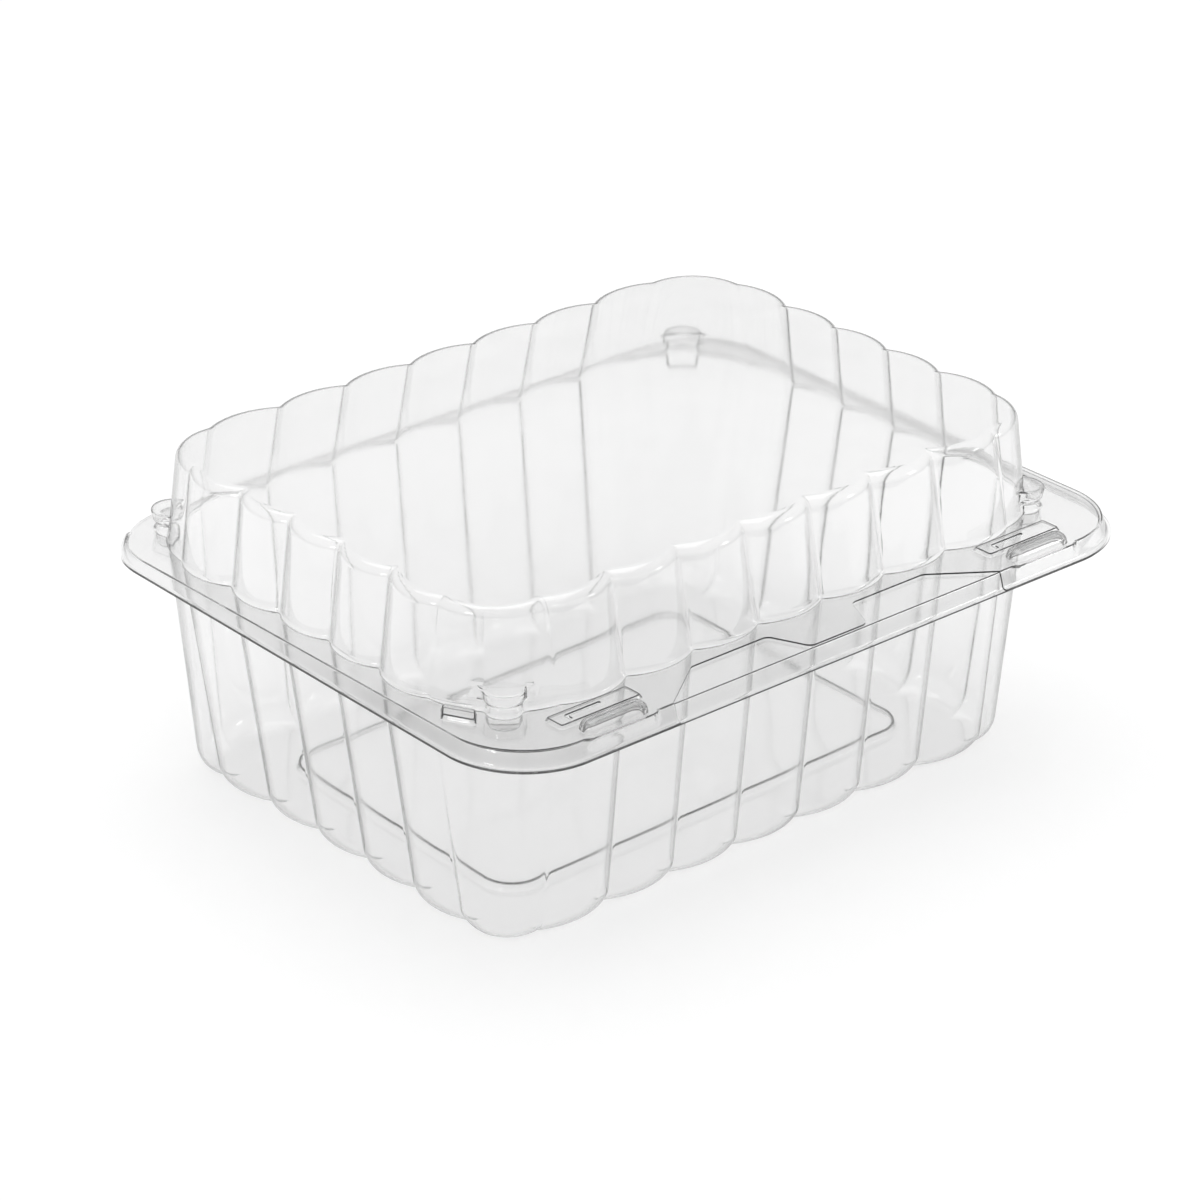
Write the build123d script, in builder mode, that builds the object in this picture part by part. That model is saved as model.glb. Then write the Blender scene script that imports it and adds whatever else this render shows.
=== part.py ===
from build123d import *
import os
from math import atan2, cos, degrees, radians, sin

# Hinged clamshell pack, thermoformed from one clear sheet. It stands closed on its floor,
# long sides along X, latches at the front (-Y), living hinge along the back (+Y).
# The origin is on the floor, in the middle of the overall outline. Sizes in millimetres.

# The sheet, and the free space between the closed lid's sheet and the tray's
sheet = 0.45
nest_gap = 0.3

# Flutes: lobes bowed outwards between sharp creases, in straight rows along the four sides
long_lobes = 7
long_pitch = 22.0
short_lobes = 5
short_pitch = 20.0
flute_bow = 3.2
corner_lift = 1.1
# from the last crease of a row to the plane of the next wall, at the flange
corner_reach_long = 21.2
corner_reach_short = 22.3
# a corner lobe is two equal arcs with a flat between them and one before and after
corner_radius = 10.0
corner_turn = 45.0
corner_heading = 48.0
corner_run = 3.8

# Tray
tray_height = 68.0
tray_taper_long = 10.2
tray_taper_short = 6.2
floor_radius = 6.5
panel_margin_long = 17.0
panel_margin_short = 20.0
panel_rise = 1.6
panel_radius = 9.0
panel_slope = 1.0

# Rounded feet and rims are made of bands between these angles
rounding_angles = (0, 45, 90)

# Lid
lid_height = 26.2
lid_taper_long = 3.3
lid_taper_short = 5.7
rim_radius = 2.6

# Flange round both halves, its sloping skirt and the trimmed lip below
flange_side = 8.4
flange_front = 18.1
flange_back = 5.0
flange_radius = 21.0
skirt_drop_front = 4.8
skirt_drop_back = 2.2
skirt_flare = 1.8
lip_width = 1.0
skirt_end = 13.0

# Thumb tab between two cut-backs in the lid's front flange
tab_half_width = 9.6
tab_flank = 5.0
cutback_line = 7.2
cutback_half_width = 56.0
cutback_run = 16.0
cutback_radius = 2.5

# Snap latches at both ends of the front flange
latch_x = 73.0
bar_length = 20.0
bar_width = 6.6
bar_rise = 2.8
bar_sink = 2.6
bar_inset = 1.9
bar_angles = (0, 35, 65)
pad_length = 26.0
pad_rise = 1.0
pad_width = 7.9
pad_gap = 1.7
slit_setback = 3.2
slit_start = 8.5
slit_length = 11.0
slit_hook = 2.3
slit_width = 0.8

# Stacking bosses on the flange's corners, up in the lid and down in the tray
boss_radius = 4.5
boss_inset_long = 8.6
boss_inset_short = 5.2
boss_rise = 7.4
boss_sink = 4.6
boss_taper = 5.0

# Low lug beside the front left boss
lug_width = 9.8
lug_length = 10.0
lug_rise = 1.4
lug_turn = 50.6
lug_inset_long = 4.2
lug_inset_short = 12.4

# Places worked out from the sizes above
nest_step = sheet + nest_gap
half_long = long_pitch * long_lobes / 2 + corner_reach_long
half_short = short_pitch * short_lobes / 2 + corner_reach_short
flange_long = half_long + flange_side
edge_front = half_short + flange_front
edge_back = half_short + flange_back
skirt_reach = skirt_flare + lip_width
overall_front = edge_front + skirt_reach + nest_step
overall_back = edge_back + sheet + nest_gap / 2
tub_y = (overall_front - overall_back) / 2
hinge_y = tub_y + edge_back
hinge_z = tray_height + nest_gap / 2
lid_bottom = tray_height + nest_gap
lid_top = tray_height + lid_height
flange_width = edge_front + edge_back
flange_mid = tub_y + (edge_back - edge_front) / 2
skirt_tilt = degrees(atan2(skirt_drop_front - skirt_drop_back, flange_width))
skirt_drop = (skirt_drop_front + skirt_drop_back) / 2
bar_y = tub_y - edge_front + bar_inset
pad_back = tub_y - half_short - flute_bow - pad_gap
pad_y = pad_back - pad_width / 2
cut_reach = 2 * (flange_long + skirt_reach)


def corner_lobe(start, end, heading, radius):
    """Draws a corner lobe between two creases. Its runs and arcs keep their headings at every level
    and only the runs change length, so its flats stay flat where the lobe narrows."""
    turn = radians(corner_turn)
    ahead = Vector(1, 0).rotate(Axis.Z, heading)
    outward = ahead.rotate(Axis.Z, -90)
    uneven = (end - start).dot(outward) / sin(turn) / 2
    middle = (end - start).dot(ahead) - 2 * radius * sin(turn) - 2 * corner_run * cos(turn)
    first_run = PolarLine(start, corner_run + uneven, heading - corner_turn)
    first_arc = JernArc(first_run @ 1, first_run % 1, radius, corner_turn)
    flat = PolarLine(first_arc @ 1, middle, heading)
    last_arc = JernArc(flat @ 1, flat % 1, radius, corner_turn)
    Line(last_arc @ 1, end)


def scalloped(half_length, half_width, radius):
    """Draws the closed outline: rows of arcs bowed out between creases, and a larger lobe at each corner."""
    along = [long_pitch * (step - long_lobes / 2) for step in range(long_lobes + 1)]
    across = [short_pitch * (step - short_lobes / 2) for step in range(short_lobes + 1)]
    rows = [
        [Vector(x, -half_width) for x in along],
        [Vector(half_length, y) for y in across],
        [Vector(-x, half_width) for x in along],
        [Vector(-half_length, -y) for y in across],
    ]
    for row in rows:
        lift = (row[1] - row[0]).rotate(Axis.Z, -90).normalized() * corner_lift
        row[0] = row[0] + lift
        row[-1] = row[-1] + lift
    headings = [corner_heading, 180 - corner_heading, 180 + corner_heading, 360 - corner_heading]
    for row, next_row, heading in zip(rows, rows[1:] + rows[:1], headings):
        for start, end in zip(row, row[1:]):
            outward = (end - start).rotate(Axis.Z, -90).normalized()
            ThreePointArc(start, (start + end) / 2 + outward * flute_bow, end)
        corner_lobe(row[-1], next_row[0], heading, radius)


def fluted(levels):
    """Makes a fluted body through the levels."""
    with BuildPart() as body:
        for level, half_length, half_width, radius in levels:
            with BuildSketch(Plane((0, tub_y, level))):
                with BuildLine():
                    scalloped(half_length, half_width, radius)
                make_face()
        loft(ruled=True)
    return body.part


def tray_levels(inset):
    """Height, half sizes and corner radius of each section of the tray, a distance inset into the sheet."""
    radius = floor_radius - inset
    levels = []
    for angle in rounding_angles:
        level = inset + radius * (1 - cos(radians(angle)))
        levels.append((level, radius * (1 - sin(radians(angle)))))
    levels.append((tray_height, 0))
    sections = []
    for level, step_in in levels:
        lean = 1 - level / tray_height
        sections.append((
            level,
            half_long - tray_taper_long * lean - step_in - inset,
            half_short - tray_taper_short * lean - step_in - inset,
            corner_radius - step_in - inset,
        ))
    return sections


def lid_levels(inset):
    """The same for the lid, from the flange up to the rounded rim."""
    radius = rim_radius - inset
    levels = [(lid_bottom, 0)]
    for angle in reversed(rounding_angles):
        level = lid_top - inset - radius * (1 - cos(radians(angle)))
        levels.append((level, radius * (1 - sin(radians(angle)))))
    sections = []
    for level, step_in in levels:
        lean = (level - lid_bottom) / (lid_top - lid_bottom)
        sections.append((
            level,
            half_long - lid_taper_long * lean - step_in - inset,
            half_short - lid_taper_short * lean - step_in - inset,
            corner_radius - step_in - inset,
        ))
    return sections


def flange_plane(level):
    return Plane((0, flange_mid, level))


def skirt_plane(level):
    """Plane of the skirt's lower edge: the skirt is deeper at the front than beside the hinge."""
    return Plane((0, flange_mid, level - skirt_drop)).rotated((skirt_tilt, 0, 0))


def bar_sections(inset, rise):
    """Level below or above the flange, length and width of a half-round latch bar."""
    length = bar_length - 2 * inset
    width = bar_width - 2 * inset
    levels = [(-bar_sink, 0)]
    for angle in bar_angles:
        levels.append((rise * sin(radians(angle)), width / 2 * (1 - cos(radians(angle)))))
    return [(level, length - 2 * step_in, width - 2 * step_in) for level, step_in in levels]


boss_spots = GridLocations(
    2 * (half_long - boss_inset_long), 2 * (half_short - boss_inset_short), 2, 2
)
latch_spots = Locations((-latch_x, 0), (latch_x, 0))
lug_spot = Locations(Location((-half_long + lug_inset_long, -half_short + lug_inset_short, 0), (0, 0, lug_turn)))

tub = fluted(tray_levels(0))
tub_hollow = fluted(tray_levels(sheet))
dome = fluted(lid_levels(0))
dome_hollow = fluted(lid_levels(sheet))

# Tray: flange and skirt first, then the fluted tub through it
with BuildPart() as tray:
    with BuildSketch(flange_plane(tray_height)):
        RectangleRounded(2 * flange_long, flange_width, flange_radius)
    with BuildSketch(skirt_plane(tray_height)):
        RectangleRounded(
            2 * (flange_long + skirt_flare), flange_width + 2 * skirt_flare, flange_radius + skirt_flare
        )
    loft(ruled=True)
    with BuildSketch(skirt_plane(tray_height)):
        RectangleRounded(
            2 * (flange_long + skirt_reach), flange_width + 2 * skirt_reach, flange_radius + skirt_reach
        )
    extrude(amount=sheet)
    # bars that the lid's latch bars snap over
    for side in (-1, 1):
        for level, length, width in bar_sections(nest_step, bar_rise):
            with BuildSketch(Plane((side * latch_x, bar_y, tray_height + level))):
                SlotOverall(length, width)
        loft(ruled=True)
    # hollow under the flange and behind the skirt
    with BuildSketch(flange_plane(tray_height - sheet)):
        RectangleRounded(2 * (flange_long - sheet), flange_width - 2 * sheet, flange_radius - sheet)
    with BuildSketch(skirt_plane(tray_height - sheet)):
        RectangleRounded(
            2 * (flange_long + skirt_flare - sheet),
            flange_width + 2 * (skirt_flare - sheet),
            flange_radius + skirt_flare - sheet,
        )
    loft(ruled=True, mode=Mode.SUBTRACT)
    # the skirt stops short of the hinge, where the flange is trimmed straight
    with BuildSketch(Plane((0, hinge_y, 0))):
        Rectangle(cut_reach, 2 * skirt_end)
    extrude(amount=tray_height - sheet, mode=Mode.SUBTRACT)
    with BuildSketch(Plane((0, hinge_y, 0))):
        Rectangle(cut_reach, 2 * skirt_end, align=(Align.CENTER, Align.MIN))
    extrude(amount=lid_top, mode=Mode.SUBTRACT)
    # tub and bosses
    add(tub)
    with BuildSketch(Plane((0, tub_y, tray_height), z_dir=(0, 0, -1))):
        with boss_spots:
            Circle(boss_radius)
    extrude(amount=boss_sink, taper=boss_taper)
    add(tub_hollow, mode=Mode.SUBTRACT)
    with BuildSketch(Plane((0, tub_y, tray_height), z_dir=(0, 0, -1))):
        with boss_spots:
            Circle(boss_radius - sheet)
    extrude(amount=boss_sink - sheet, taper=boss_taper, mode=Mode.SUBTRACT)
    for side in (-1, 1):
        for level, length, width in bar_sections(nest_step + sheet, bar_rise - sheet):
            with BuildSketch(Plane((side * latch_x, bar_y, tray_height + level))):
                SlotOverall(length, width)
        loft(ruled=True, mode=Mode.SUBTRACT)
    # raised floor panel
    panel_long = 2 * (half_long - tray_taper_long - panel_margin_long)
    panel_short = 2 * (half_short - tray_taper_short - panel_margin_short)
    for level, grow in ((0, panel_slope), (panel_rise + sheet, 0)):
        with BuildSketch(Plane((0, tub_y, level))):
            RectangleRounded(panel_long + 2 * grow, panel_short + 2 * grow, panel_radius + grow)
    loft(ruled=True)
    for level, grow in ((0, panel_slope), (panel_rise, 0)):
        with BuildSketch(Plane((0, tub_y, level))):
            RectangleRounded(
                panel_long + 2 * (grow - sheet),
                panel_short + 2 * (grow - sheet),
                panel_radius + grow - sheet,
            )
    loft(ruled=True, mode=Mode.SUBTRACT)

# Lid: its flange and skirt lie over the tray's, one sheet and the free space further out
with BuildPart() as lid:
    lid_flange_mid = flange_mid - nest_step / 2
    lid_flange_width = flange_width + nest_step
    lid_flange_top = lid_bottom + sheet
    lid_flange_plane = Plane((0, lid_flange_mid, lid_flange_top))
    lid_hollow_plane = Plane((0, lid_flange_mid, lid_bottom))
    lid_skirt_plane = skirt_plane(lid_flange_top)
    lid_skirt_hollow = skirt_plane(lid_bottom)
    lid_long = flange_long + nest_step
    lid_radius = flange_radius + nest_step
    with BuildSketch(lid_flange_plane):
        RectangleRounded(2 * lid_long, lid_flange_width, lid_radius)
    with BuildSketch(lid_skirt_plane):
        with Locations((0, -nest_step / 2)):
            RectangleRounded(
                2 * (lid_long + skirt_flare), lid_flange_width + 2 * skirt_flare, lid_radius + skirt_flare
            )
    loft(ruled=True)
    with BuildSketch(lid_skirt_plane):
        with Locations((0, -nest_step / 2)):
            RectangleRounded(
                2 * (lid_long + skirt_reach), lid_flange_width + 2 * skirt_reach, lid_radius + skirt_reach
            )
    extrude(amount=sheet)
    # latch bars and the low pads behind them
    for side in (-1, 1):
        for level, length, width in bar_sections(0, bar_rise):
            with BuildSketch(Plane((side * latch_x, bar_y, lid_flange_top + level))):
                SlotOverall(length, width)
        loft(ruled=True)
    with BuildSketch(Plane((0, pad_y, lid_bottom))):
        with latch_spots:
            Rectangle(pad_length, pad_width)
    extrude(amount=sheet + pad_rise)
    with BuildSketch(lid_hollow_plane):
        RectangleRounded(2 * (lid_long - sheet), lid_flange_width - 2 * sheet, lid_radius - sheet)
    with BuildSketch(lid_skirt_hollow):
        with Locations((0, -nest_step / 2)):
            RectangleRounded(
                2 * (lid_long + skirt_flare - sheet),
                lid_flange_width + 2 * (skirt_flare - sheet),
                lid_radius + skirt_flare - sheet,
            )
    loft(ruled=True, mode=Mode.SUBTRACT)
    with BuildSketch(Plane((0, hinge_y, 0))):
        Rectangle(cut_reach, 2 * skirt_end)
    extrude(amount=lid_bottom, mode=Mode.SUBTRACT)
    with BuildSketch(Plane((0, hinge_y, 0))):
        Rectangle(cut_reach, 2 * skirt_end, align=(Align.CENTER, Align.MIN))
    extrude(amount=lid_top, mode=Mode.SUBTRACT)
    # cut-backs, with the thumb tab left standing out to the tray's flange edge
    with BuildSketch(Plane((0, tub_y, 0))):
        front = -edge_front - 2 * skirt_reach
        inner = -half_short - cutback_line
        right = [
            (tab_half_width, -edge_front),
            (tab_half_width + tab_flank, inner),
            (cutback_half_width - cutback_run, inner),
            (cutback_half_width, -edge_front - nest_step),
            (cutback_half_width, front),
        ]
        left = [(-x, y) for x, y in reversed(right)]
        with BuildLine():
            FilletPolyline(*right, *left, radius=cutback_radius, close=True)
        make_face()
    extrude(amount=lid_top, mode=Mode.SUBTRACT)
    # low lug beside the front left boss
    with BuildSketch(Plane((0, tub_y, lid_bottom))):
        with lug_spot:
            Rectangle(lug_length, lug_width, align=(Align.MAX, Align.CENTER))
    extrude(amount=sheet + lug_rise)
    # tub and bosses
    add(dome)
    with BuildSketch(Plane((0, tub_y, lid_bottom))):
        with boss_spots:
            Circle(boss_radius)
    extrude(amount=sheet + boss_rise, taper=boss_taper)
    add(dome_hollow, mode=Mode.SUBTRACT)
    with BuildSketch(Plane((0, tub_y, lid_bottom))):
        with boss_spots:
            Circle(boss_radius - sheet)
    extrude(amount=boss_rise, taper=boss_taper, mode=Mode.SUBTRACT)
    with BuildSketch(Plane((0, tub_y, lid_bottom))):
        with lug_spot:
            Rectangle(lug_length - sheet, lug_width - 2 * sheet, align=(Align.MAX, Align.CENTER))
    extrude(amount=lug_rise, mode=Mode.SUBTRACT)
    with BuildSketch(Plane((0, pad_y, lid_bottom))):
        with latch_spots:
            Rectangle(pad_length - 2 * sheet, pad_width - 2 * sheet)
    extrude(amount=pad_rise, mode=Mode.SUBTRACT)
    for side in (-1, 1):
        for level, length, width in bar_sections(sheet, bar_rise - sheet):
            with BuildSketch(Plane((side * latch_x, bar_y, lid_flange_top + level))):
                SlotOverall(length, width)
        loft(ruled=True, mode=Mode.SUBTRACT)
    # hooked slit across each pad, which lets the bar behind it give
    with BuildSketch(Plane((-slit_start, pad_back - slit_setback, lid_bottom))):
        with latch_spots:
            Rectangle(slit_length, slit_width, align=(Align.MIN, Align.CENTER))
            with Locations((0, slit_width / 2)):
                Rectangle(slit_width, slit_hook, align=(Align.MAX, Align.MAX))
    extrude(amount=sheet + bar_rise, mode=Mode.SUBTRACT)

# Living hinge: the thinned strip that joins the two flanges' back edges, folded in a half turn
with BuildPart() as hinge:
    with BuildSketch(Plane.YZ.offset(-flange_long + flange_radius)):
        with Locations((hinge_y, hinge_z)):
            Circle(nest_gap / 2 + sheet)
            Circle(nest_gap / 2, mode=Mode.SUBTRACT)
            Rectangle(2 * nest_step, 4 * nest_step, align=(Align.MAX, Align.CENTER), mode=Mode.SUBTRACT)
    extrude(amount=2 * (flange_long - flange_radius))

tray.part.label = "base_tray"
lid.part.label = "lid"
hinge.part.label = "living_hinge"

os.makedirs("parts", exist_ok=True)
export_step(tray.part, "parts/base_tray.step")
export_step(lid.part, "parts/lid.step")
export_step(hinge.part, "parts/living_hinge.step")
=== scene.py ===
import math

import bpy
import numpy as np
from mathutils import Matrix, Vector
from mathutils.geometry import delaunay_2d_cdt


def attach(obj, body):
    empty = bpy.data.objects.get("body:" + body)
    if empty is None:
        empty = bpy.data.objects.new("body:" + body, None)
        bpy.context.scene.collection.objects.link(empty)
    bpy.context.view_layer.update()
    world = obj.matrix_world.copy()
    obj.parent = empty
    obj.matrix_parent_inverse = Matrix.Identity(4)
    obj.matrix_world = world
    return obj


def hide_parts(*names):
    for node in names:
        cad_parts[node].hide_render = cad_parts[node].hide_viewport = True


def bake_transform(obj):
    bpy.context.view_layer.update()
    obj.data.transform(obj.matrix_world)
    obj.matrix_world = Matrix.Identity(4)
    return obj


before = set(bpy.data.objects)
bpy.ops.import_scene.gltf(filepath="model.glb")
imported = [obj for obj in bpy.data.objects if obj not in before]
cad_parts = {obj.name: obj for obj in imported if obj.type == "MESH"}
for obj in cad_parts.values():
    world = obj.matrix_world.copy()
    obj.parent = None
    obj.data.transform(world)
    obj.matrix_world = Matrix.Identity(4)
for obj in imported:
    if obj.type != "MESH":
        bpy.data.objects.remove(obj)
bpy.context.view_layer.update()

# VIEW
# The pack is seen from its front left corner, from a little above, with a long lens, so its
# edges hardly converge. Distances are in metres, the focal length and the picture in pixels.
VIEW_TURN = math.radians(-41.37)
VIEW_RISE = math.radians(26.26)
VIEW_ROLL = math.radians(0.43)
VIEW_DISTANCE = 1.1924
VIEW_TARGET = Vector((0.0, 0.008025, 0.0442))
SENSOR = 36
FOCAL_PIXELS, PICTURE_PIXELS = 4496.6, 1200

back = Vector((
    math.sin(VIEW_TURN) * math.cos(VIEW_RISE),
    -math.cos(VIEW_TURN) * math.cos(VIEW_RISE),
    math.sin(VIEW_RISE),
))
right = Vector((0, 0, 1)).cross(back).normalized()
up = back.cross(right)
camera = bpy.data.objects.new("camera", bpy.data.cameras.new("camera"))
bpy.context.scene.collection.objects.link(camera)
camera.data.lens = SENSOR * FOCAL_PIXELS / PICTURE_PIXELS
camera.data.sensor_width = SENSOR
camera.data.clip_start = 0.05
camera.data.clip_end = 50
facing = Matrix((right, up, back)).transposed() @ Matrix.Rotation(VIEW_ROLL, 3, "Z")
camera.matrix_world = Matrix.Translation(VIEW_TARGET + back * VIEW_DISTANCE) @ facing.to_4x4()
bpy.context.scene.camera = camera

# TRAY
# The deep half: one sheet of clear PET drawn down over a fluted mould, with a flat flange, a
# sloping skirt and a trimmed lip round it, four boss pockets and two latch bars. All sizes of
# the sheet's shape are in millimetres.
MM = 1e-3
SHEET = 0.45
NEST = 0.75
TUB_Y = 8.025
LOBES_LONG, PITCH_LONG = 7, 22.0
LOBES_SHORT, PITCH_SHORT = 5, 20.0
HALF_LONG, HALF_SHORT = 98.2, 72.3
BOW, CORNER_BOW, CORNER_LIFT = 3.2, 5.6, 1.1
CREASE_EASE, LOBE_RUN = 0.8, 24.0
TRAY_PINCH, PINCH_WIDTH = 0.24, 0.8
TRAY_TOP = 68.0
TRAY_TAPER = (10.2, 6.2)
FLOOR_RADIUS = 6.5
FOOT_BEND = 0.9
BEND_MARGIN, FLAT_MARGIN = 0.3, 0.6
FLANGE_SIDE, FLANGE_FRONT, FLANGE_BACK, FLANGE_RADIUS = 106.6, -90.4, 77.3, 21.0
HINGE_LINE = FLANGE_BACK + TUB_Y
SKIRT_DROP = (4.8, 2.2)
SKIRT_FLARE, LIP, EDGE_BEND = 1.8, 1.0, 0.42
SKIRT_END, SKIRT_FADE, SKIRT_LEFT = 5.0, 12.0, 0.3
BAR_X, BAR_Y, BAR_LENGTH, BAR_WIDTH, BAR_RISE = 73.0, -88.2, 20.0, 6.2, 2.8
BAR_PUSH, PUSH_START, PUSH_EASE = 1.1, -0.2, 2.2
BOSS_X, BOSS_Y, BOSS_RADIUS = 89.6, 67.1, 4.6
BOSS_TAPER = math.tan(math.radians(5))
POCKET_SINK, POCKET_ROUND, POCKET_RINGS = 4.2, 0.6, (2.9, 2.0, 1.2, 0.0)
PANEL_LONG, PANEL_SHORT, PANEL_RADIUS, PANEL_RISE = 71.0, 46.1, 9.0, 1.6
FLOOR_WAVE = 0.05

# Profiles as pairs of distance out and height: the bead round the floor panel, and a bar's foot.
PANEL_BEAD = [
    (1.6, 0), (1.1, 0), (0.85, 0.08), (0.6, 0.35), (0.42, 1.3), (0.36, 1.75), (0.22, 2.05),
    (0.0, 2.15), (-0.22, 2.05), (-0.38, 1.8), (-0.55, 1.64), (-0.9, PANEL_RISE),
]
BAR_FOOT = [(0.25, 0), (0.14, 0), (0.04, 0.05), (0.0, 0.2)]

# The skirt's profile: distances out from the flange's edge, the share of the drop that each row
# has behind it, and how far the two bends lift or sink it.
SKIRT_OUT = np.array(
    [-0.25, -0.05, 0.15, 0.3, EDGE_BEND, 0.75, 1.1]
    + [SKIRT_FLARE + step for step in (-0.3, -0.12, 0.12, 0.35, LIP)]
)
SKIRT_FALL = np.array([0, 0, 0, 0, 0, 0.25, 0.5, 1, 1, 1, 1, 1])
SKIRT_DIP = np.array([0, 0, -0.06, -0.2, -0.42, -0.3, -0.1, 0.62, 0.3, 0.1, 0.04, 0])

# Sines and cosines of three steps round a quarter circle.
QUARTER = ((0.38, 0.92), (0.71, 0.71), (0.92, 0.38))

# How finely the shapes are sampled, and how near two points count as one.
LOBE_SAMPLES, CORNER_SAMPLES, BOSS_SAMPLES, FINE_SAMPLES = 16, 30, 33, 2001
CROWDING, CORNER_CROWDING = 0.125, 0.1
BESIDE_BOSS, BOSS_GAP = 1.06, 0.008
ARC_STEP = 0.9
SLACK, WELD = 1e-6, 2e-3


def creases(half_long, half_short):
    """Crease points counter-clockwise from the front row's left end, for each pair of half sizes.
    They lie at the pitches along each side; the ends of a row stand out by the corner lift."""
    along = PITCH_LONG * (np.arange(LOBES_LONG + 1) - LOBES_LONG / 2)
    across = PITCH_SHORT * (np.arange(LOBES_SHORT + 1) - LOBES_SHORT / 2)
    long_lift = np.zeros(LOBES_LONG + 1)
    short_lift = np.zeros(LOBES_SHORT + 1)
    long_lift[[0, -1]] = short_lift[[0, -1]] = CORNER_LIFT
    wide = half_long[:, None] + short_lift
    deep = half_short[:, None] + long_lift
    x = np.hstack([along + 0 * deep, wide, -along + 0 * deep, -wide])
    y = np.hstack([-deep, across + 0 * wide, deep, -across + 0 * wide])
    return np.stack([x, y], -1)


COUNT = 2 * (LOBES_LONG + LOBES_SHORT + 2)
CORNERS = [LOBES_LONG, LOBES_LONG + LOBES_SHORT + 1, 2 * LOBES_LONG + LOBES_SHORT + 2, COUNT - 1]
BOWS = np.full(COUNT, BOW)
BOWS[CORNERS] = CORNER_BOW


def fluted(u, half_long, half_short):
    """Points of the fluted outline. u counts lobes round the pack: its whole part picks the lobe,
    its fraction runs along the circular arc through the lobe's two creases and its bow."""
    ends = creases(half_long, half_short)
    lobe = np.floor(u).astype(int) % COUNT
    start, end = ends[:, lobe], ends[:, (lobe + 1) % COUNT]
    chord = np.linalg.norm(end - start, axis=-1)
    along = (end - start) / chord[..., None]
    out = np.stack([along[..., 1], -along[..., 0]], -1)
    bow = BOWS[lobe]
    radius = (chord**2 / 4 + bow**2) / (2 * bow)
    turn = (2 * (u - np.floor(u)) - 1) * np.arcsin(chord / 2 / radius)
    return (
        (start + end) / 2
        + out * (bow - radius + radius * np.cos(turn))[..., None]
        + along * (radius * np.sin(turn))[..., None]
    )


def eased(u, half_long, half_short):
    """The same outline with its creases rounded: each point is the weighted mean of nine points up
    to two easings away along it, with bell-shaped weights. Also gives the outward normals, from
    the direction between two points just before and after."""
    taps = np.linspace(-2, 2, 9)
    weights = np.exp(-(taps**2) / 1.2)
    weights /= weights.sum()
    step = CREASE_EASE / LOBE_RUN

    def mean(at):
        return sum(w * fluted(at + t * step, half_long, half_short) for w, t in zip(weights, taps))

    tangent = mean(u + 0.002) - mean(u - 0.002)
    out = np.stack([tangent[..., 1], -tangent[..., 0]], -1)
    return mean(u), out / np.linalg.norm(out, axis=-1, keepdims=True)


def crowded(count, crowding):
    """Shares of one lobe, at even steps drawn towards its two creases by a sine."""
    share = np.linspace(0, 1, count, endpoint=False)
    return share - crowding * np.sin(2 * np.pi * share)


def stations():
    """Where the outline is sampled, in lobes. Samples crowd towards the creases, and round each
    boss they follow the sine of the angle round it, so its side comes out round."""
    every = []
    for lobe in range(COUNT):
        here = lobe + crowded(LOBE_SAMPLES, CROWDING)
        if lobe in CORNERS:
            fine = lobe + np.linspace(0, 1, FINE_SAMPLES)
            line = fluted(fine, np.array([HALF_LONG]), np.array([HALF_SHORT]))[0]
            boss = np.sign(line.mean(0)) * [BOSS_X, BOSS_Y]
            middle = fine[np.argmin(np.linalg.norm(line - boss, axis=1))]
            reach = BOSS_RADIUS / np.linalg.norm(np.diff(line, axis=0), axis=1).sum()
            around = middle + reach * np.sin(np.linspace(-0.5, 0.5, BOSS_SAMPLES) * np.pi)
            beside = middle + reach * np.array([-BESIDE_BOSS, BESIDE_BOSS])
            here = lobe + crowded(CORNER_SAMPLES, CORNER_CROWDING)
            here = here[abs(here - middle) > reach + BOSS_GAP]
            here = np.sort(np.concatenate([here, around, beside]))
        every.append(here)
    return np.concatenate(every)


def tub_rows(u, half_long, half_short, out, height, boss, pinch):
    """Rows of the fluted wall, one for each height: the eased outline, its half sizes wider by a
    distance out, pinched in at the creases by a bell curve of the distance along it, and moved along
    its normal to the far side of that row's boss circle where one stands."""
    line, normal = eased(u, half_long + out, half_short + out)
    from_crease = abs(u - np.round(u)) * (PITCH_LONG + PITCH_SHORT) / 2
    line = line - normal * (pinch * np.exp(-((from_crease / PINCH_WIDTH) ** 2)))[:, None]
    centre = np.sign(line) * [BOSS_X, BOSS_Y]
    towards = centre - line
    ahead = (towards * normal).sum(-1)
    aside_squared = (towards**2).sum(-1) - ahead**2
    boss = np.where(boss > 0, boss + out, 0)[:, None]
    half_chord = np.sqrt(np.maximum(boss**2 - aside_squared, 0))
    bulge = np.where(aside_squared < boss**2, ahead + half_chord, 0)
    line = line + normal * np.maximum(bulge, 0)[..., None]
    return np.dstack([line[..., 0], line[..., 1] + TUB_Y, height[:, None] + 0 * line[..., 0]])


def grid(rows, closed=True):
    """Quads between neighbouring rows of points; closed joins the last station to the first."""
    count, wide = rows.shape[:2]
    here = np.arange(count * wide).reshape(count, wide)
    there = np.roll(here, -1, axis=1)
    if not closed:
        here, there = here[:, :-1], there[:, :-1]
    quads = np.stack([here[:-1], there[:-1], there[1:], here[1:]], -1).reshape(-1, 4)
    return rows.reshape(-1, 3), quads.tolist()


def in_plan(row):
    """A row of points without its heights."""
    return row[:, :2]


def rectangle(left, front, right, back):
    """The corners of a rectangle, counter-clockwise from its front left."""
    return np.array([(left, front), (right, front), (right, back), (left, back)])


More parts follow.
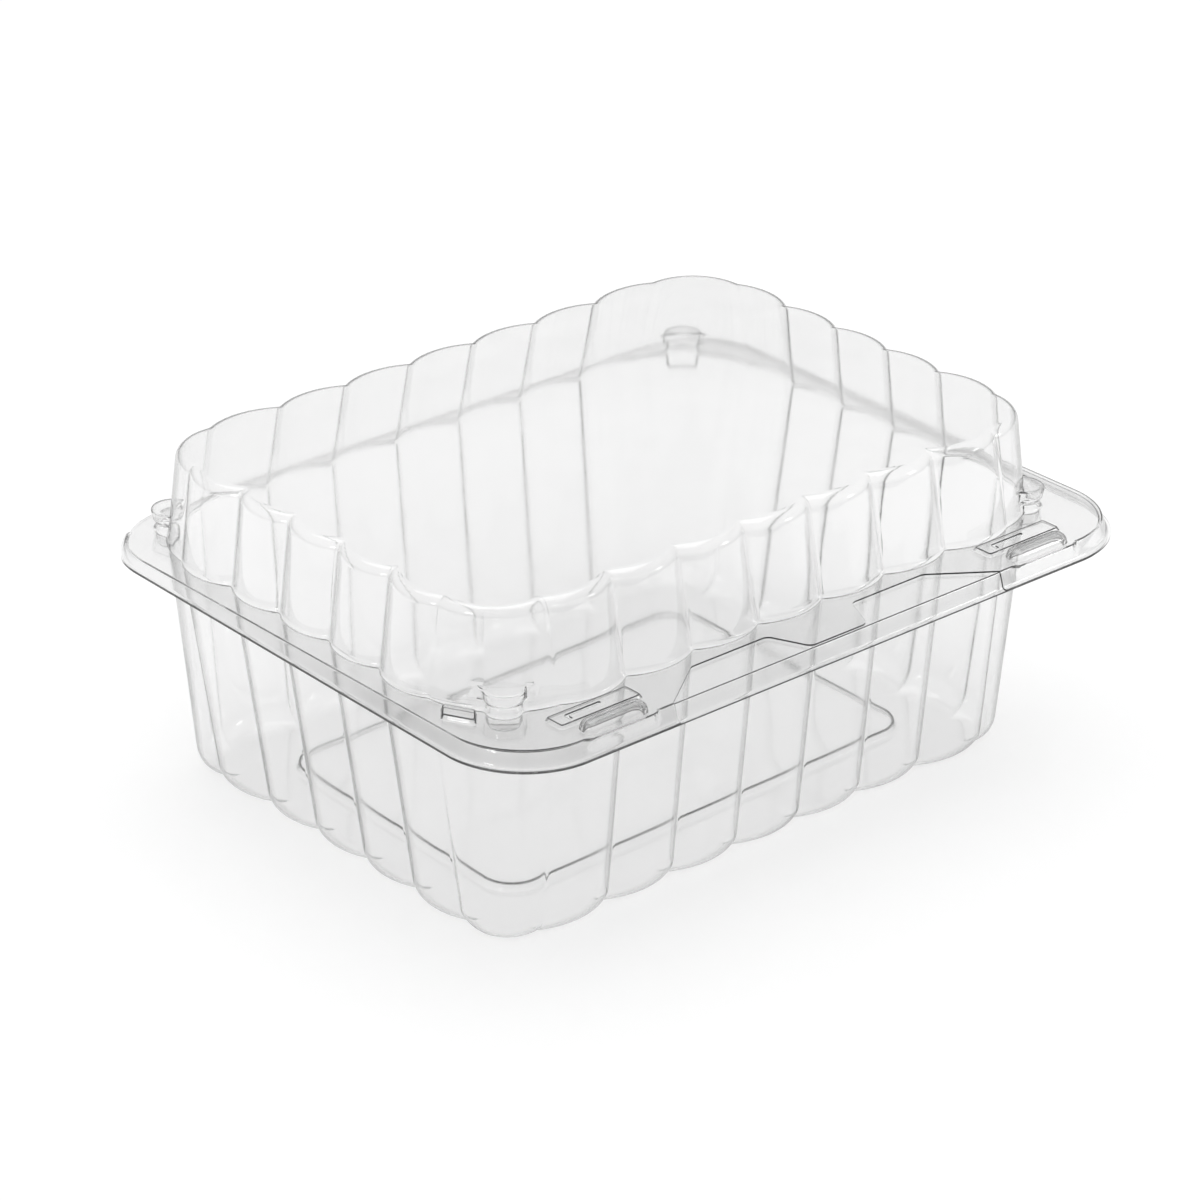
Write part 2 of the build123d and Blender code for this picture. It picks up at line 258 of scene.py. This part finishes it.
def rounded(corners, radii):
    """A closed line through the corners, each turned by an arc of its own radius; the arc starts
    radius times the tangent of half the turn before the corner, and ends as far after it."""
    corners = np.asarray(corners, float)
    before = corners - np.roll(corners, 1, axis=0)
    after = np.roll(corners, -1, axis=0) - corners
    before /= np.linalg.norm(before, axis=1, keepdims=True)
    after /= np.linalg.norm(after, axis=1, keepdims=True)
    turn = np.arctan2(before[:, 0] * after[:, 1] - before[:, 1] * after[:, 0], (before * after).sum(1))
    line = []
    for corner, into, bend, radius in zip(corners, before, turn, radii):
        start = corner - into * radius * abs(math.tan(bend / 2))
        side = np.array([-into[1], into[0]]) * np.sign(bend)
        steps = np.linspace(0, abs(bend), int(abs(bend) * radius / ARC_STEP) + 3)[:, None]
        line.append(start + into * radius * np.sin(steps) + side * radius * (1 - np.cos(steps)))
    return np.vstack(line)


def resampled(line, spacing, closed=True):
    """The line cut into equal steps of about the spacing, between points no further apart than that."""
    line = np.vstack([line, line[:1]]) if closed else line
    gap = np.linalg.norm(np.diff(line, axis=0), axis=1)
    line = line[np.concatenate([[True], gap > SLACK])]
    gap = gap[gap > SLACK]
    cuts = np.maximum(1, np.ceil(gap / spacing)).astype(int)
    part = np.repeat(np.arange(len(gap)), cuts)
    share = np.concatenate([np.arange(c) / c for c in cuts])[:, None]
    points = line[part] * (1 - share) + line[part + 1] * share
    return points if closed else np.vstack([points, line[-1:]])


def normals_of(line, closed=True):
    """Outward normals of a counter-clockwise line: the mean direction of the two runs at a point,
    turned a quarter, and lengthened, at most to double, so that the runs stay parallel when moved
    along it."""
    step = np.roll(line, -1, axis=0) - line
    if not closed:
        step[-1] = step[-2]
    step /= np.linalg.norm(step, axis=1, keepdims=True)
    last = np.roll(step, 1, axis=0)
    if not closed:
        last[0] = step[0]
    mean = step + last
    mean /= np.linalg.norm(mean, axis=1, keepdims=True)
    mean /= np.maximum(0.5, (mean * step).sum(1))[:, None]
    return np.column_stack([mean[:, 1], -mean[:, 0]])


def carried(line, profile, level):
    """A profile of (distance out, height) pairs carried round a closed plan line at a level."""
    out, height = np.asarray(profile, float).T
    plan = line + normals_of(line) * out[:, None, None]
    return np.dstack([plan[..., 0], plan[..., 1], level + height[:, None] + 0 * plan[..., 0]])


def between(faces, lines, count):
    """True for triangles inside an odd number of the closed lines: spreads from the outer edge over
    neighbouring triangles, and turns over at each edge that is part of a line."""
    sides = np.sort(np.stack([faces, np.roll(faces, -1, axis=1)], -1).reshape(-1, 2), axis=1)
    keys = sides[:, 0] * count + sides[:, 1]
    lines = np.sort(lines, axis=1)
    crossing = np.isin(keys, lines[:, 0] * count + lines[:, 1])
    order = np.argsort(keys, kind="stable")
    pair = np.flatnonzero(keys[order][1:] == keys[order][:-1])
    one, other = order[pair], order[pair + 1]
    outer = np.setdiff1d(order, np.concatenate([one, other]))
    inside = np.full(len(faces), -1)
    inside[outer // 3] = crossing[outer]
    flip = crossing[one]
    for near, far in ((one // 3, other // 3), (other // 3, one // 3)) * len(faces):
        fresh = (inside[near] >= 0) & (inside[far] < 0)
        inside[far[fresh]] = inside[near[fresh]] ^ flip[fresh]
        if not (inside < 0).any():
            break
    return inside == 1


def plate(loops, level, spacing=None, wave=0.0):
    """A flat sheet between closed plan lines, the first round the outside and the rest holes, cut
    into triangles. A spacing adds inner points, no nearer to a line than 0.6 of it, and they sink
    by a slow wave of sines."""
    points = np.vstack(loops)
    if spacing:
        low, high = loops[0].min(0), loops[0].max(0)
        x, y = np.meshgrid(np.arange(low[0], high[0], spacing), np.arange(low[1], high[1], spacing))
        inner = np.column_stack([x.ravel(), y.ravel()])
        gaps = np.linalg.norm(inner[:, None] - points[None], axis=-1).min(1)
        points = np.vstack([points, inner[gaps > spacing * 0.6]])
    ends = np.cumsum([0] + [len(loop) for loop in loops])
    rings = [np.arange(low, high) for low, high in zip(ends, ends[1:])]
    edges = np.vstack([np.column_stack([ring, np.roll(ring, -1)]) for ring in rings]).tolist()
    given = [Vector(point) for point in np.round(points, 5).tolist()]
    placed, runs, faces, _, drawn, _ = delaunay_2d_cdt(given, edges, [], 0, 1e-7)
    placed, faces = np.array([tuple(point) for point in placed]), np.array(faces)
    placed[: len(points)] = points
    lines = np.array(runs)[[len(sources) > 0 for sources in drawn]]
    faces = faces[between(faces, lines, len(placed))]
    first, second, third = placed[faces[:, 0]], placed[faces[:, 1]], placed[faces[:, 2]]
    (a, b), (c, d) = (second - first).T, (third - first).T
    inverted = a * d - b * c < 0
    faces[inverted] = faces[inverted][:, ::-1]
    x, y = placed.T
    swell = np.sin(x / 31 + 0.6) * np.cos(y / 23) + 0.5 * np.sin(y / 13 + x / 47)
    height = level + np.where(np.arange(len(placed)) < ends[-1], 0, wave * (swell - 1.5))
    return np.column_stack([placed, height]), faces.tolist()


def sheet_piece(name, patches):
    """Joins patches that share their edge points into one sheet, gives it the sheet's thickness on
    its back, and splits the shading where it was trimmed."""
    points = np.vstack([patch_points for patch_points, _ in patches])
    keys = np.round(points / WELD).astype(np.int64)
    _, kept, merged = np.unique(keys, axis=0, return_index=True, return_inverse=True)
    merged = merged.reshape(-1).tolist()
    faces = []
    first = 0
    for patch_points, patch_faces in patches:
        for face in patch_faces:
            ring = [merged[first + i] for i in face]
            ring = [corner for i, corner in enumerate(ring) if corner != ring[i - 1]]
            if len(ring) > 2 and len(set(ring)) == len(ring):
                faces.append(ring)
        first += len(patch_points)
    mesh = bpy.data.meshes.new(name)
    mesh.from_pydata((points[kept] * MM).tolist(), [], faces)
    mesh.polygons.foreach_set("use_smooth", np.ones(len(mesh.polygons), bool))
    mesh.update()
    piece = bpy.data.objects.new(name, mesh)
    bpy.context.scene.collection.objects.link(piece)
    solid = piece.modifiers.new("sheet", "SOLIDIFY")
    solid.thickness = SHEET * MM
    solid.offset = -1
    solid.use_even_offset = True
    solid.use_rim = True
    solid.material_offset = 1
    solid.material_offset_rim = 2
    trim = piece.modifiers.new("trimmed edges", "EDGE_SPLIT")
    trim.split_angle = math.radians(48)
    return piece


def bend(radius, steps):
    """Sine and cosine of the angles of a quarter bend, times its radius."""
    angle = np.radians(np.linspace(0, 90, steps))
    return radius * np.sin(angle), radius * np.cos(angle)


def smooth_step(value, start, run):
    """Rises from 0 to 1 over a run from the start, as three squares of the share less two cubes."""
    share = np.clip((value - start) / run, 0, 1)
    return share * share * (3 - 2 * share)


def flange_line(grow):
    """The flange's edge in plan, with its back edge on the hinge line."""
    side = FLANGE_SIDE + grow
    line = rounded(rectangle(-side, FLANGE_FRONT - grow, side, FLANGE_BACK), [FLANGE_RADIUS + grow] * 4)
    return resampled(line, spacing=0.7) + [0, TUB_Y]


def parted(line):
    """The flange line in two: the stretch with a skirt, from its stop on the left side round the
    front to its stop on the right, and the rest, on along the hinge."""
    keep = line[:, 1] <= HINGE_LINE - SKIRT_END + SLACK
    start = int(np.flatnonzero(keep & ~np.roll(keep, 1))[0])
    line = np.roll(line, -start, axis=0)
    return line[: keep.sum()], line[keep.sum() :]


def skirt_rows(line, level):
    """The skirt below the flange: a small bend, a slope that flares out, a second bend and the lip.
    It drops further the nearer it is to the front, in proportion, and the bend is pushed out in front
    of each latch bar, between two smooth steps. It shrinks to a part of its size by a smooth step
    before its ends beside the hinge."""
    from_hinge = HINGE_LINE - line[:, 1]
    front_drop, back_drop = SKIRT_DROP
    drop = back_drop + (front_drop - back_drop) * from_hinge / (FLANGE_BACK - FLANGE_FRONT)
    from_bar = abs(abs(line[:, 0]) - BAR_X)
    beside_bar = 1 - smooth_step(from_bar, BAR_LENGTH / 2 + PUSH_START, PUSH_EASE)
    push = np.interp(SKIRT_OUT, [EDGE_BEND, SKIRT_FLARE - 0.3], [BAR_PUSH, 0])
    size = SKIRT_LEFT + (1 - SKIRT_LEFT) * smooth_step(from_hinge, SKIRT_END, SKIRT_FADE)
    flat, sloping = np.minimum(SKIRT_OUT, EDGE_BEND), np.maximum(SKIRT_OUT - EDGE_BEND, 0)
    reach = flat[:, None] + sloping[:, None] * size + push[:, None] * beside_bar * (line[:, 1] < 0)
    plan = line + normals_of(line, closed=False) * reach[..., None]
    height = level + SKIRT_DIP[:, None] * size - SKIRT_FALL[:, None] * (drop - SHEET) * size
    return np.dstack([plan[..., 0], plan[..., 1], height])


def stadium(length, width):
    """The plan of a latch bar, a straight run with a half circle at each end."""
    angle = np.linspace(-np.pi / 2, np.pi / 2, 17)
    end = np.column_stack([np.cos(angle), np.sin(angle)]) * width / 2 + [(length - width) / 2, 0]
    run = np.linspace(-1, 1, 15)[1:-1, None] * [(length - width) / 2, 0]
    return np.vstack([end, [0, width / 2] - run, -end, run - [0, width / 2]])


def bar_rows(line, width, level):
    """Half-round bar over its stadium: a small bend at its foot, then a quarter ellipse of height
    against distance in from the foot."""
    angle = np.radians(np.array([18, 32, 46, 60, 74, 90]))
    foot = BAR_FOOT[-1][1]
    round_top = zip(-width / 2 * (1 - np.cos(angle)), foot + (BAR_RISE - foot) * np.sin(angle))
    rows = carried(line, BAR_FOOT + list(round_top), level)
    middle = (line.min(0) + line.max(0)) / 2
    reach = (line.max(0) - line.min(0))[0] / 2 - width / 2
    rows[-1, :, 0] = np.clip(rows[-1, :, 0], middle[0] - reach, middle[0] + reach)
    rows[-1, :, 1] = middle[1]
    return rows


def bar_pair(shrink, level):
    """The two latch bars, each smaller all round by the shrink than the bars of the lid."""
    length, width = BAR_LENGTH - 2 * shrink, BAR_WIDTH - 2 * shrink
    plan = stadium(length, width)
    return [bar_rows(plan + [hand * BAR_X, BAR_Y + TUB_Y], width, level) for hand in (-1, 1)]


# The tub's rows from the flange down, as height, distance out and radius of the boss pocket: the
# bend under the flange, the pocket's wall, round and floor, the plain wall, and the rounded foot.
u = stations()
foot_in, foot_up = bend(FOOT_BEND, 6)
inside_radius = FLOOR_RADIUS - SHEET
floor_in, floor_up = bend(inside_radius, 10)
pocket = BOSS_RADIUS - SHEET
pocket_foot = pocket - BOSS_TAPER * POCKET_SINK
pocket_floor = TRAY_TOP - POCKET_SINK + SHEET
wall_top = TRAY_TOP - FOOT_BEND - POCKET_SINK - 1
steps = [(TRAY_TOP, FOOT_BEND + BEND_MARGIN, pocket)]
steps += [(TRAY_TOP - FOOT_BEND + rise, FOOT_BEND - run, pocket) for run, rise in zip(foot_in, foot_up)]
steps += [(pocket_floor + POCKET_ROUND, 0, pocket_foot)]
steps += [
    (pocket_floor + POCKET_ROUND - POCKET_ROUND * sine, 0, pocket_foot - POCKET_ROUND * (1 - cosine))
    for sine, cosine in QUARTER
]
steps += [(pocket_floor, 0, radius) for radius in POCKET_RINGS]
steps += [(height, 0, 0) for height in np.linspace(wall_top, FLOOR_RADIUS, 12)]
steps += [(FLOOR_RADIUS - run, rise - inside_radius, 0) for run, rise in zip(floor_in[1:], floor_up[1:])]
steps += [(SHEET, -inside_radius - FLAT_MARGIN, 0)]
height, out, boss = np.array(steps).T
lean = 1 - height / TRAY_TOP
half_long = HALF_LONG - SHEET - TRAY_TAPER[0] * lean
half_short = HALF_SHORT - SHEET - TRAY_TAPER[1] * lean
tub = tub_rows(u, half_long, half_short, out, height, boss, TRAY_PINCH)

panel = rounded(rectangle(-PANEL_LONG, -PANEL_SHORT, PANEL_LONG, PANEL_SHORT), [PANEL_RADIUS] * 4)
panel = carried(resampled(panel, spacing=4.0) + [0, TUB_Y], PANEL_BEAD, SHEET)
front_edge, hinge_edge = parted(flange_line(0))
skirt = skirt_rows(front_edge, TRAY_TOP)
bars = bar_pair(NEST, TRAY_TOP)
outline = np.vstack([in_plan(skirt[0]), hinge_edge])
patches = [
    grid(tub),
    plate([in_plan(tub[-1]), in_plan(panel[0])], SHEET),
    grid(panel),
    plate([in_plan(panel[-1])], SHEET + PANEL_RISE, spacing=7.0, wave=FLOOR_WAVE),
    grid(skirt[::-1], closed=False),
    plate([outline, in_plan(tub[0])] + [in_plan(bar[0]) for bar in bars], TRAY_TOP),
] + [grid(bar) for bar in bars]
tray = sheet_piece("tray_sheet", patches)
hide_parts("base_tray")
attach(tray, "tray")


def colour(hex_code):
    """An sRGB hex colour as linear red, green, blue and 1."""
    parts = [int(hex_code[i : i + 2], 16) / 255 for i in (1, 3, 5)]
    return tuple(p / 12.92 if p <= 0.04045 else ((p + 0.055) / 1.055) ** 2.4 for p in parts) + (1.0,)


def node(tree, kind, settings=None, **links):
    """Adds a shader node: settings are its own fields, links set or join its inputs, by name or by
    number as i0, i1 and so on."""
    made = tree.nodes.new(kind)
    for key, value in (settings or {}).items():
        setattr(made, key, value)
    for key, value in links.items():
        numbered = key[0] == "i" and key[1:].isdigit()
        socket = made.inputs[int(key[1:]) if numbered else key.replace("_", " ")]
        if isinstance(value, bpy.types.NodeSocket):
            tree.links.new(value, socket)
        else:
            socket.default_value = value
    return made


# Clear PET, thermoformed: glossy on both faces, with a faint slow waviness from the mould. Where a
# face is seen edge on its colour is painted darker, as painted shade for the dark creases and edges:
# down to black on the outer face and to mid grey on the inner face, so near walls look darker than far
# ones. Lamps shine through it, so its shadow is pale.
PET_IOR = 1.575
WHITE = colour("#FFFFFF")
RIPPLE, RIPPLE_HEIGHT = 18 * MM, 0.4 * MM


def clear_pet(name, edge_on_painted_shade):
    """Clear plastic for one face of the sheet. Where the face is seen edge on, its colour is painted darker,
    down to the given grey, as painted shade.
    """
    made = bpy.data.materials.new(name)
    made.use_nodes = True
    tree = made.node_tree
    tree.nodes.clear()
    place = node(tree, "ShaderNodeTexCoord").outputs["Object"]
    slow = node(tree, "ShaderNodeTexNoise", Vector=place, Scale=1 / RIPPLE, Detail=1.0, Roughness=0.4)
    dull = node(tree, "ShaderNodeMapRange", Value=slow.outputs["Fac"], To_Min=0.03, To_Max=0.07)
    wavy = node(tree, "ShaderNodeBump", Height=slow.outputs["Fac"], Strength=0.25, Distance=RIPPLE_HEIGHT)
    grazing = node(tree, "ShaderNodeLayerWeight", Blend=0.5).outputs["Facing"]
    # Painted shade: the colour greys where the face is seen edge on.
    painted_edge_shade = node(
        tree, "ShaderNodeMapRange", Value=grazing, From_Min=0.6, From_Max=0.97, To_Min=0.95, To_Max=edge_on_painted_shade,
    )
    clear = node(
        tree, "ShaderNodeBsdfPrincipled", Base_Color=painted_edge_shade.outputs[0], Transmission_Weight=1.0, IOR=PET_IOR,
        Roughness=dull.outputs[0], Normal=wavy.outputs[0],
    )
    passed = node(tree, "ShaderNodeBsdfTransparent", Color=WHITE)
    lamp_ray = node(tree, "ShaderNodeLightPath").outputs["Is Shadow Ray"]
    both = node(tree, "ShaderNodeMixShader", i0=lamp_ray, i1=clear.outputs[0], i2=passed.outputs[0])
    node(tree, "ShaderNodeOutputMaterial", Surface=both.outputs[0])
    return made


# Painted shade: darkest on the outer faces, lighter on the inner faces.
outer_face_painted_shade = clear_pet("clear_pet_outer_face_painted_shade", 0.0)
inner_face = clear_pet("clear_pet_inner_face_painted_shade", 0.5)

# Trimmed PET edge: the knife leaves it frosted. Its dark grey colour is painted shade, for the dark lines
# along the trimmed edges.
edge = bpy.data.materials.new("trimmed_pet_edge_painted_shade")
edge.use_nodes = True
frosted_painted_dark = edge.node_tree.nodes["Principled BSDF"].inputs
# Painted shade: a dark grey colour for the dark lines along the edges.
frosted_painted_dark["Base Color"].default_value = colour("#3C3C3C")
frosted_painted_dark["Transmission Weight"].default_value = 1.0
frosted_painted_dark["IOR"].default_value = PET_IOR
frosted_painted_dark["Roughness"].default_value = 0.25
for face in (inner_face, outer_face_painted_shade, edge):
    tray.data.materials.append(face)

# LID
# The shallow half, formed with the tray from the same sheet: fluted wall, rounded rim, flat top,
# and a flange, skirt and lip that lie over the tray's. Its front flange is cut back on both sides
# of the thumb tab, and carries the two latch bars with their pads and hooked slits.
LID_FLANGE = TRAY_TOP + NEST
LID_TOP = 94.2
LID_TAPER = (3.3, 5.7)
LID_PINCH = 0.1
LID_WAVE = 0.07
RIM = 2.6
BOSS_TOP = LID_FLANGE + 6.0
HEAD_WIDER, HEAD_ROUND = 0.95, 0.7
HEAD_RINGS = (BOSS_RADIUS - 0.2, 3.2, 2.1, 1.2, 0.0)
TAB, TAB_FLANK = 9.6, 5.0
CUT_LINE, CUT_HALF, CUT_RUN, CUT_RADIUS = -79.5, 56.0, 16.0, 2.5
CUT_LEAD, CUT_MARGIN, SHARP = 20, 0.05, 0.01
PAD_Y, PAD_LENGTH, PAD_WIDTH, PAD_RISE = -80.95, 26.0, 6.4, 0.9
SLIT_X, SLIT_Y, SLIT_LENGTH, SLIT_WIDTH, SLIT_HOOK = -8.5, -80.4, 11.0, 1.0, 2.1
LUG_X, LUG_Y, LUG_WIDTH, LUG_RISE, LUG_TURN = -96.3, -58.0, 8.4, 1.4, math.radians(50.6)
LUG_STARTS, LUG_ENDS = (5.0, 1.3), (11.3, 7.8)
STEP_RADIUS = 1.0

# A boss's side, as height from its top and distance beyond its radius: narrow at the foot, with a
# step out to the wider head.
BOSS_SIDE = (
    (-4.2, -0.2), (-3.8, -0.1), (-3.4, 0.2), (-3.0, 0.5), (-2.5, 0.6), (-HEAD_ROUND, HEAD_WIDER),
)

# The lid's rows from the flange up, as height, distance out and boss radius.
rim_in, rim_up = bend(RIM, 9)
head = BOSS_RADIUS + HEAD_WIDER - HEAD_ROUND
steps = [(LID_FLANGE, FOOT_BEND + BEND_MARGIN, BOSS_RADIUS)]
steps += [
    (LID_FLANGE + FOOT_BEND - rise, FOOT_BEND - run, BOSS_RADIUS)
    for run, rise in zip(foot_in, foot_up)
]
steps += [(BOSS_TOP + rise, 0, BOSS_RADIUS + wider) for rise, wider in BOSS_SIDE]
steps += [
    (BOSS_TOP - HEAD_ROUND + HEAD_ROUND * sine, 0, head + HEAD_ROUND * cosine)
    for sine, cosine in QUARTER
]
steps += [(BOSS_TOP, 0, radius) for radius in HEAD_RINGS]
steps += [(height, 0, 0) for height in np.linspace(BOSS_TOP + 1, LID_TOP - RIM, 8)]
steps += [(LID_TOP - RIM + rise, run - RIM, 0) for rise, run in zip(rim_in[1:], rim_up[1:])]
steps += [(LID_TOP, -RIM - FLAT_MARGIN, 0)]
height, out, boss = np.array(steps).T
lean = (height - LID_FLANGE) / (LID_TOP - LID_FLANGE)
half_long = HALF_LONG - LID_TAPER[0] * lean
half_short = HALF_SHORT - LID_TAPER[1] * lean
dome = tub_rows(u, half_long, half_short, out, height, boss, LID_PINCH)

# The flange's outline: the two stretches of skirt, the hinge edge between them at the back, and
# the cut-backs and thumb tab between them at the front.
skirted, hinge_edge = parted(flange_line(NEST))
left_skirt = skirt_rows(skirted[skirted[:, 0] <= -CUT_HALF], LID_FLANGE)
right_skirt = skirt_rows(skirted[skirted[:, 0] >= CUT_HALF], LID_FLANGE)
front = FLANGE_FRONT - NEST
cut_right = [
    (TAB, FLANGE_FRONT),
    (TAB + TAB_FLANK, CUT_LINE),
    (CUT_HALF - CUT_RUN, CUT_LINE),
    (CUT_HALF, front),
    (CUT_HALF, front - CUT_LEAD),
]
cut = rounded(
    [(-x, y) for x, y in cut_right[::-1]] + cut_right,
    [SHARP, SHARP] + [CUT_RADIUS] * 6 + [SHARP, SHARP],
)
cut = resampled(cut[cut[:, 1] > front + CUT_MARGIN] + [0, TUB_Y], spacing=1.6, closed=False)
outline = np.vstack([in_plan(right_skirt[0]), hinge_edge, in_plan(left_skirt[0]), cut])


def turned(points, angle, centre):
    """Plan points turned by an angle about the origin, then moved to their centre."""
    cosine, sine = math.cos(angle), math.sin(angle)
    return np.asarray(points) @ np.array([[cosine, sine], [-sine, cosine]]) + centre


def low_step(corners, rise, holes=()):
    """A low raised step: its sloping side with small bends, and its flat top with holes in it."""
    line = resampled(rounded(corners, [STEP_RADIUS] * len(corners)), spacing=1.2)
    foot = [(0.45, 0), (0.3, 0), (0.15, 0.06), (0.0, 0.25)]
    brow = [(-0.2, rise - 0.25), (-0.35, rise - 0.06), (-0.55, rise), (-0.8, rise)]
    side = carried(line, foot + brow, LID_FLANGE)
    return in_plan(side[0]), [grid(side), plate([in_plan(side[-1]), *holes], LID_FLANGE + rise)]


bars = bar_pair(0, LID_FLANGE)
parts = [grid(bar) for bar in bars]
holes = [in_plan(bar[0]) for bar in bars]

# The hooked slits, through the pads behind the bars.
half = SLIT_WIDTH / 2
hook = [(-half, -SLIT_HOOK), (half, -SLIT_HOOK), (half, -half)]
hook += [(SLIT_LENGTH, -half), (SLIT_LENGTH, half), (-half, half)]
slit = resampled(rounded(hook, [0.2, 0.2, 0.3, 0.35, 0.35, 0.9]), spacing=0.8)
pad = rectangle(-PAD_LENGTH / 2, -PAD_WIDTH / 2, PAD_LENGTH / 2, PAD_WIDTH / 2)
for hand in (-1, 1):
    opening = slit + [hand * BAR_X + SLIT_X, SLIT_Y + TUB_Y]
    foot, step = low_step(pad + [hand * BAR_X, PAD_Y + TUB_Y], PAD_RISE, [opening])
    holes.append(foot)
    parts += step

# The diagonal lug on the front left corner.
half = LUG_WIDTH / 2
lug = [(-LUG_ENDS[0], -half), (-LUG_STARTS[0], -half), (-LUG_STARTS[1], half), (-LUG_ENDS[1], half)]
foot, step = low_step(turned(lug, LUG_TURN, [LUG_X, LUG_Y + TUB_Y]), LUG_RISE)
holes.append(foot)
parts += step

patches = [
    grid(dome),
    plate([in_plan(dome[-1])], LID_TOP, spacing=6.0, wave=LID_WAVE),
    plate([outline, in_plan(dome[0])] + holes, LID_FLANGE),
    grid(left_skirt[::-1], closed=False),
    grid(right_skirt[::-1], closed=False),
] + parts
lid = sheet_piece("lid_sheet", patches)
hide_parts("lid")
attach(lid, "lid")
for face in (outer_face_painted_shade, inner_face, edge):
    lid.data.materials.append(face)

# LIVING HINGE
# The thinned strip that joins the two flanges along their back edges, folded in a half turn while
# the pack is shut.
HINGE_HALF = FLANGE_SIDE - FLANGE_RADIUS
HINGE_Z = TRAY_TOP + 0.15
FOLD, BLEND_HALF = 0.6, 0.4

angle = np.radians(np.linspace(-90, 90, 13))[:, None]
along = np.linspace(HINGE_HALF, -HINGE_HALF, 60)[None, :]
strip = np.dstack([
    along + 0 * angle,
    HINGE_LINE + FOLD * np.cos(angle) + 0 * along,
    HINGE_Z + FOLD * np.sin(angle) + 0 * along,
])
hinge = sheet_piece("hinge_strip", [grid(strip, closed=False)])
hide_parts("living_hinge")
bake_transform(hinge)
hinge.data.materials.append(inner_face)

# FLOOR AND LIGHT
# A plain white floor under a large soft box overhead, with weaker light from both sides. The
# surroundings are paler above than near the horizon, so the sheet's edges pick up some grey. The
# floor lies a hair below the pack, so that the two faces don't coincide. Sizes are in metres.
FLOOR_Z, FLOOR_HALF = -0.0002, 4
FLOOR_LIFT = 0.42
HORIZON_LIGHT, SKY_LIGHT, SKY_FROM = 0.2, 0.88, 0.42
LAMPS = {
    "overhead": ((0.1, 0.2, 1.3), (0, 0, 0), 1.2, 4.2),
    "left": ((-1.4, -0.3, 0.6), (0, 0, 0.05), 0.3, 1.2),
    "right": ((1.1, -1.0, 0.7), (0, 0, 0.05), 0.3, 1.0),
}

floor = bpy.data.objects.new("floor", bpy.data.meshes.new("floor"))
corners = rectangle(-FLOOR_HALF, -FLOOR_HALF, FLOOR_HALF, FLOOR_HALF).tolist()
floor.data.from_pydata([(x, y, FLOOR_Z) for x, y in corners], [], [(0, 1, 2, 3)])
bpy.context.scene.collection.objects.link(floor)

# White paper, matt. Seen directly, or through or in the sheet, it is lifted a little towards white.
paper = bpy.data.materials.new("white_paper")
paper.use_nodes = True
tree = paper.node_tree
tree.nodes.clear()
rays = node(tree, "ShaderNodeLightPath").outputs
seen = rays["Is Camera Ray"]
for ray in ("Is Glossy Ray", "Is Transmission Ray"):
    seen = node(tree, "ShaderNodeMath", {"operation": "MAXIMUM"}, i0=seen, i1=rays[ray]).outputs[0]
lift = node(tree, "ShaderNodeMath", {"operation": "MULTIPLY"}, i0=seen, i1=FLOOR_LIFT)
matt = node(tree, "ShaderNodeBsdfDiffuse", Color=colour("#CBCBCB"))
glow = node(tree, "ShaderNodeEmission", Color=WHITE, Strength=lift.outputs[0])
sum_of = node(tree, "ShaderNodeAddShader", i0=matt.outputs[0], i1=glow.outputs[0])
node(tree, "ShaderNodeOutputMaterial", Surface=sum_of.outputs[0])
floor.data.materials.append(paper)

world = bpy.data.worlds.new("studio")
bpy.context.scene.world = world
world.use_nodes = True
tree = world.node_tree
tree.nodes.clear()
way = node(tree, "ShaderNodeTexCoord").outputs["Generated"]
split = node(tree, "ShaderNodeSeparateXYZ", Vector=way)
rise = node(
    tree, "ShaderNodeMapRange", Value=split.outputs["Z"], From_Min=0.0, From_Max=SKY_FROM,
    To_Min=HORIZON_LIGHT, To_Max=SKY_LIGHT,
)
sky = node(tree, "ShaderNodeBackground", Color=WHITE, Strength=rise.outputs[0])
node(tree, "ShaderNodeOutputWorld", Surface=sky.outputs[0])

for name, (place, target, size, power) in LAMPS.items():
    lamp = bpy.data.objects.new(name, bpy.data.lights.new(name, "AREA"))
    lamp.data.size = size
    lamp.data.energy = power
    lamp.location = place
    lamp.rotation_euler = (Vector(target) - Vector(place)).to_track_quat("-Z", "Y").to_euler()
    bpy.context.scene.collection.objects.link(lamp)
bpy.context.scene.view_settings.view_transform = "Standard"
